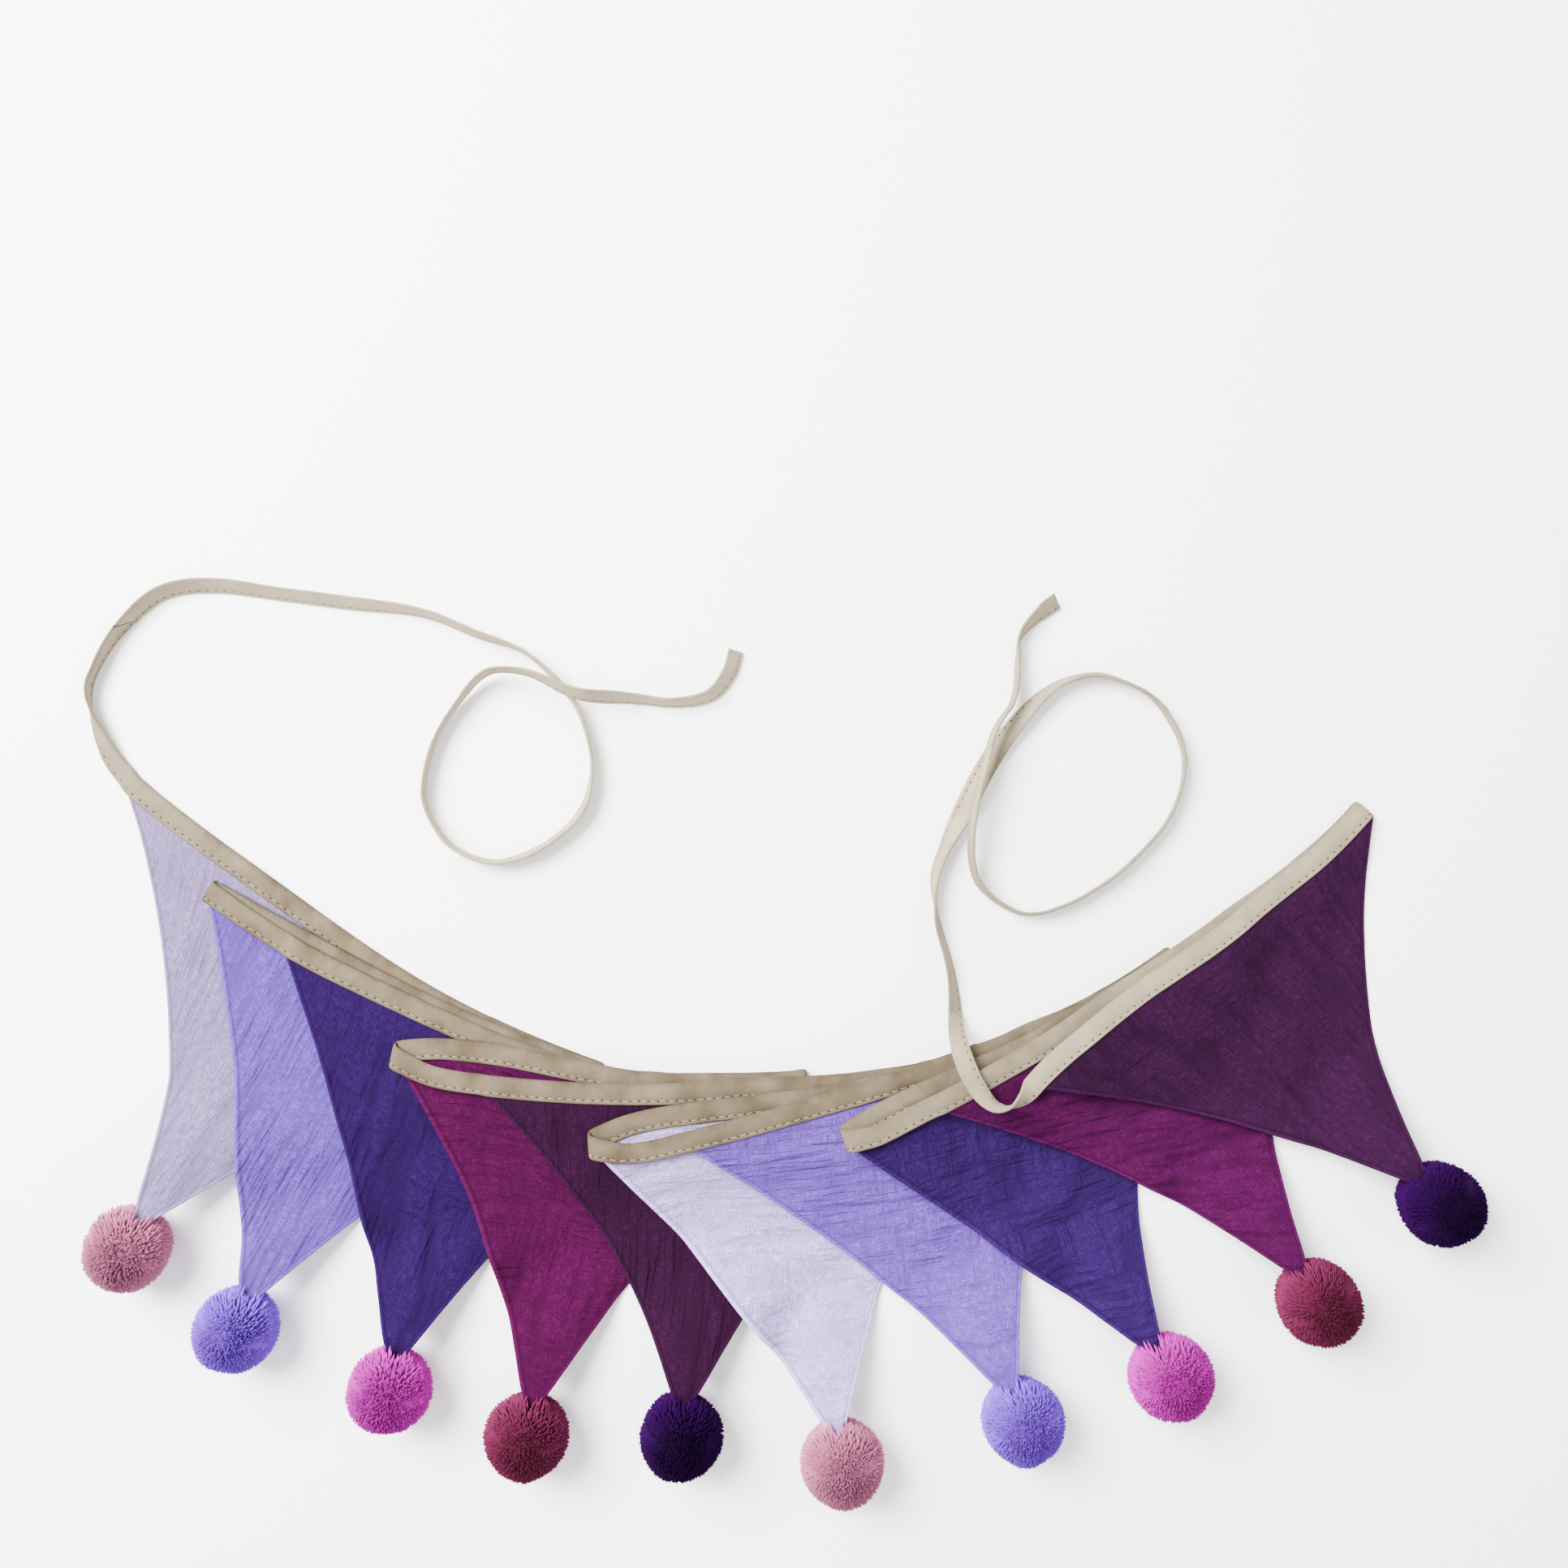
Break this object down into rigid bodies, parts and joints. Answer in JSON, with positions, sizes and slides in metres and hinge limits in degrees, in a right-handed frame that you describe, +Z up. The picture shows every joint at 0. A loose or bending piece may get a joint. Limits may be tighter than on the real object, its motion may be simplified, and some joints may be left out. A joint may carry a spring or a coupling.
{
  "type": "fabric bunting",
  "caption": "Bunting of triangular gauze flags with a yarn pompom at each tip, bound by one folded cotton tape that ends in two free ties, laid folded back and forth.",
  "frame": {"origin": "centre of the bounding box in plan, on the surface that the bunting lies on", "axes": "+X along the row of flags to the right, +Y away from the pompoms towards the ties, +Z up out of the surface"},
  "size_m": [0.653, 0.4304, 0.0372],
  "materials": {
    "tape": "matt folded cotton bias tape with a line of stitches",
    "flag_01": "matt crinkled cotton double gauze",
    "flag_02": "matt crinkled cotton double gauze",
    "flag_03": "matt crinkled cotton double gauze",
    "flag_04": "matt crinkled cotton double gauze",
    "flag_05": "matt crinkled cotton double gauze",
    "flag_06": "matt crinkled cotton double gauze",
    "flag_07": "matt crinkled cotton double gauze",
    "flag_08": "matt crinkled cotton double gauze",
    "flag_09": "matt crinkled cotton double gauze",
    "flag_10": "matt crinkled cotton double gauze",
    "pompom_01": "matt cut yarn",
    "pompom_02": "matt cut yarn",
    "pompom_03": "matt cut yarn",
    "pompom_04": "matt cut yarn",
    "pompom_05": "matt cut yarn",
    "pompom_06": "matt cut yarn",
    "pompom_07": "matt cut yarn",
    "pompom_08": "matt cut yarn",
    "pompom_09": "matt cut yarn",
    "pompom_10": "matt cut yarn"
  },
  "bodies": {
    "root": {"tape": "tape", "flag_01": "flag_01", "flag_02": "flag_02", "flag_03": "flag_03", "flag_04": "flag_04", "flag_05": "flag_05", "flag_06": "flag_06", "flag_07": "flag_07", "flag_08": "flag_08", "flag_09": "flag_09", "flag_10": "flag_10", "pompom_01": "pompom_01", "pompom_02": "pompom_02", "pompom_03": "pompom_03", "pompom_04": "pompom_04", "pompom_05": "pompom_05", "pompom_06": "pompom_06", "pompom_07": "pompom_07", "pompom_08": "pompom_08", "pompom_09": "pompom_09", "pompom_10": "pompom_10"}
  },
  "joints": []
}
